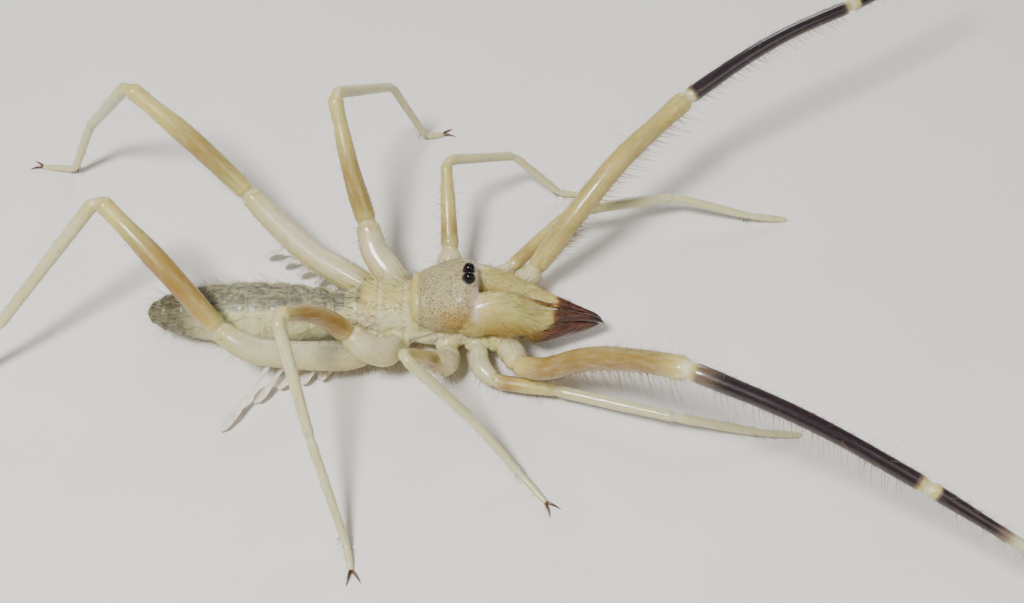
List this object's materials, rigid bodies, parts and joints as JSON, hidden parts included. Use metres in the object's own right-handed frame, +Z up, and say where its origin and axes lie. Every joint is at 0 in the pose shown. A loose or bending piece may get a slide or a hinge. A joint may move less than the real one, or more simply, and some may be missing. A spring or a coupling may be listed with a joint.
{
  "type": "camel spider",
  "caption": "Still, life-size camel spider in a walking stance: slim pale body, pointed jaws, raised dark-tipped palps and long jointed legs.",
  "frame": {"origin": "centre of the bounding box at floor level", "axes": "+X forward along the body towards the jaws, +Y to the animal's left, +Z up"},
  "size_m": [0.1182, 0.079, 0.02],
  "materials": {
    "cuticle_cream": "smooth, slightly see-through cuticle with a wet-looking sheen",
    "cuticle_pale": "thin glassy cuticle of the outer leg segments",
    "cuticle_amber": "amber flesh seen through thin cuticle",
    "head_shield": "sandy grey-green with fine dark speckles",
    "abdomen_skin": "soft ringed skin, grey band along the back",
    "palp_dark": "glossy dark plum-brown",
    "jaw_finger": "hard glossy red-brown with black tips",
    "eye_black": "polished black bead"
  },
  "bodies": {
    "root": {"abdomen": "abdomen_skin", "chelicera_left": "cuticle_cream", "chelicera_right": "cuticle_cream", "eye_left": "eye_black", "eye_right": "eye_black", "finger_left": "jaw_finger", "finger_right": "jaw_finger", "head": "head_shield", "leg_left_1_femur": "cuticle_cream", "leg_left_1_metatarsus": "cuticle_pale", "leg_left_1_tarsus": "cuticle_pale", "leg_left_1_tibia": "cuticle_cream", "leg_left_1_trochanter": "cuticle_cream", "leg_left_2_femur": "cuticle_cream", "leg_left_2_metatarsus": "cuticle_pale", "leg_left_2_tarsus": "cuticle_pale", "leg_left_2_tibia": "cuticle_cream", "leg_left_2_trochanter": "cuticle_cream", "leg_left_3_femur": "cuticle_cream", "leg_left_3_metatarsus": "cuticle_pale", "leg_left_3_tarsus": "cuticle_pale", "leg_left_3_tibia": "cuticle_cream", "leg_left_3_trochanter": "cuticle_cream", "leg_left_4_femur": "cuticle_cream", "leg_left_4_metatarsus": "cuticle_pale", "leg_left_4_tarsus": "cuticle_pale", "leg_left_4_tibia": "cuticle_cream", "leg_left_4_trochanter": "cuticle_cream", "leg_right_1_femur": "cuticle_cream", "leg_right_1_metatarsus": "cuticle_pale", "leg_right_1_tarsus": "cuticle_pale", "leg_right_1_tibia": "cuticle_cream", "leg_right_1_trochanter": "cuticle_cream", "leg_right_2_femur": "cuticle_cream", "leg_right_2_metatarsus": "cuticle_pale", "leg_right_2_tarsus": "cuticle_pale", "leg_right_2_tibia": "cuticle_cream", "leg_right_2_trochanter": "cuticle_cream", "leg_right_3_femur": "cuticle_amber", "leg_right_3_metatarsus": "cuticle_pale", "leg_right_3_tarsus": "cuticle_pale", "leg_right_3_tibia": "cuticle_cream", "leg_right_3_trochanter": "cuticle_cream", "leg_right_4_femur": "cuticle_amber", "leg_right_4_metatarsus": "cuticle_pale", "leg_right_4_tarsus": "cuticle_pale", "leg_right_4_tibia": "cuticle_cream", "leg_right_4_trochanter": "cuticle_cream", "palp_left_femur": "cuticle_cream", "palp_left_foot": "palp_dark", "palp_left_tibia": "palp_dark", "palp_left_trochanter": "cuticle_cream", "palp_right_femur": "cuticle_cream", "palp_right_foot": "palp_dark", "palp_right_tibia": "palp_dark", "palp_right_trochanter": "cuticle_cream", "thorax": "cuticle_cream"}
  },
  "joints": []
}
